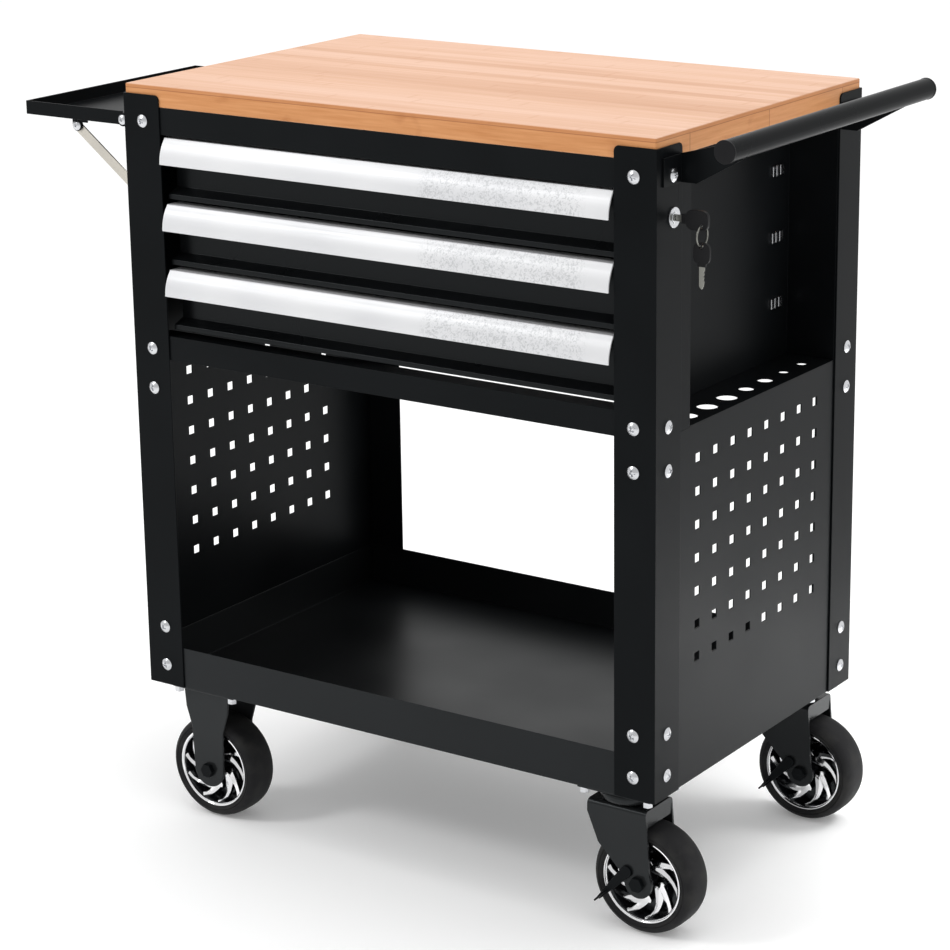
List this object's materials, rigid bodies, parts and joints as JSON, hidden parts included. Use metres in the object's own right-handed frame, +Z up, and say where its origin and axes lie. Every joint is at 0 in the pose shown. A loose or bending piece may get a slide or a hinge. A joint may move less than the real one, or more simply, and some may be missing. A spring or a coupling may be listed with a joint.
{
  "type": "rolling tool chest",
  "caption": "Black steel tool chest on castors with sliding drawers, bamboo worktop, perforated sides, folding side tray and push handle.",
  "frame": {"origin": "on the floor, at the bottom centre of the whole object's bounding box", "axes": "+X toward the handle side, -Y toward the drawer fronts, +Z up"},
  "size_m": [0.9686, 0.4648, 0.9065],
  "materials": {
    "steel": "satin black powder coat",
    "bamboo": "oiled laminated bamboo",
    "pull": "fine satin, near white",
    "tyre": "matt",
    "rim": "bright with black ground",
    "zinc": "bright zinc plate",
    "strut": "yellowish zinc plate",
    "plastic": "matt black",
    "tube": "satin black"
  },
  "bodies": {
    "chassis": {"post_front_left": "steel", "post_front_right": "steel", "post_rear_left": "steel", "post_rear_right": "steel", "worktop": "bamboo", "front_top_rail": "steel", "front_mid_rail": "steel", "rear_panel": "steel", "left_peg_panel": "steel", "right_peg_panel": "steel", "left_upper_panel": "steel", "left_slide_wall": "steel", "right_recess_wall": "steel", "right_tool_shelf": "steel", "lower_tray": "steel", "handle_tube": "tube", "handle_caps": "plastic", "handle_brackets": "steel", "frame_bolts": "zinc", "slide_rails": "zinc", "lock_barrel": "zinc", "tray_brackets": "steel", "swivel_plates": "steel", "rigid_forks": "steel", "rigid_axles": "steel", "castor_bolts": "zinc"},
    "drawer_1": {"drawer_1_box": "steel", "drawer_1_front": "steel", "drawer_1_pull": "pull", "drawer_1_runners": "zinc"},
    "drawer_2": {"drawer_2_box": "steel", "drawer_2_front": "steel", "drawer_2_pull": "pull", "drawer_2_runners": "zinc"},
    "drawer_3": {"drawer_3_box": "steel", "drawer_3_front": "steel", "drawer_3_pull": "pull", "drawer_3_runners": "zinc"},
    "side_tray": {"side_tray": "steel", "side_tray_pins": "zinc"},
    "tray_struts": {"side_tray_struts": "strut"},
    "lock_turning": {"lock_plug": "zinc", "lock_key": "plastic"},
    "spare_key_hanging": {"spare_key": "plastic", "key_ring": "zinc"},
    "swivel_front": {"swivel_fork_front": "steel", "swivel_axle_front": "steel"},
    "brake_front": {"brake_lever_front": "steel"},
    "swivel_rear": {"swivel_fork_rear": "steel", "swivel_axle_rear": "steel"},
    "brake_rear": {"brake_lever_rear": "steel"},
    "wheel_front_right": {"tyre_front_right": "tyre", "rim_front_right": "rim"},
    "wheel_rear_right": {"tyre_rear_right": "tyre", "rim_rear_right": "rim"},
    "wheel_front_left": {"tyre_front_left": "tyre", "rim_front_left": "rim"},
    "wheel_rear_left": {"tyre_rear_left": "tyre", "rim_rear_left": "rim"}
  },
  "joints": [
    {"name": "drawer_1_slide", "type": "slide", "parent": "chassis", "child": "drawer_1", "axis": [0, -1, 0], "range_m": [0, 0.32]},
    {"name": "drawer_2_slide", "type": "slide", "parent": "chassis", "child": "drawer_2", "axis": [0, -1, 0], "range_m": [0, 0.32]},
    {"name": "drawer_3_slide", "type": "slide", "parent": "chassis", "child": "drawer_3", "axis": [0, -1, 0], "range_m": [0, 0.32]},
    {"name": "side_tray_fold", "type": "hinge", "parent": "chassis", "child": "side_tray", "pos_m": [-0.33425, -0.0625, 0.855], "axis": [0, 1, 0], "range_deg": [-75, 0]},
    {"name": "tray_strut_turn", "type": "hinge", "parent": "side_tray", "child": "tray_struts", "pos_m": [-0.41425, -0.0625, 0.84], "axis": [0, 1, 0], "range_deg": [0, 125]},
    {"name": "lock_turn", "type": "hinge", "parent": "chassis", "child": "lock_turning", "pos_m": [0.39375, -0.1935, 0.813], "axis": [1, 0, 0], "range_deg": [0, 90]},
    {"name": "spare_key_swing", "type": "hinge", "parent": "lock_turning", "child": "spare_key_hanging", "pos_m": [0.42675, -0.1935, 0.807], "axis": [0, 1, 0], "range_deg": [-20, 20]},
    {"name": "swivel_front_turn", "type": "hinge", "parent": "chassis", "child": "swivel_front", "pos_m": [0.33575, -0.1865, 0.156], "axis": [0, 0, 1], "continuous": true},
    {"name": "brake_front_press", "type": "hinge", "parent": "swivel_front", "child": "brake_front", "pos_m": [0.34975, -0.1865, 0.0755], "axis": [0, 1, 0], "range_deg": [-15, 0]},
    {"name": "wheel_front_right_spin", "type": "hinge", "parent": "swivel_front", "child": "wheel_front_right", "pos_m": [0.36375, -0.1865, 0.0635], "axis": [0, 1, 0], "continuous": true},
    {"name": "wheel_front_left_spin", "type": "hinge", "parent": "chassis", "child": "wheel_front_left", "pos_m": [-0.24725, -0.1865, 0.0635], "axis": [0, 1, 0], "continuous": true},
    {"name": "swivel_rear_turn", "type": "hinge", "parent": "chassis", "child": "swivel_rear", "pos_m": [0.33575, 0.1885, 0.156], "axis": [0, 0, 1], "continuous": true},
    {"name": "brake_rear_press", "type": "hinge", "parent": "swivel_rear", "child": "brake_rear", "pos_m": [0.34975, 0.1885, 0.0755], "axis": [0, 1, 0], "range_deg": [-15, 0]},
    {"name": "wheel_rear_right_spin", "type": "hinge", "parent": "swivel_rear", "child": "wheel_rear_right", "pos_m": [0.36375, 0.1885, 0.0635], "axis": [0, 1, 0], "continuous": true},
    {"name": "wheel_rear_left_spin", "type": "hinge", "parent": "chassis", "child": "wheel_rear_left", "pos_m": [-0.24725, 0.1885, 0.0635], "axis": [0, 1, 0], "continuous": true}
  ],
  "couplings": [
    {"joint": "tray_strut_turn", "follows": "side_tray_fold", "ratio": -1.632}
  ]
}
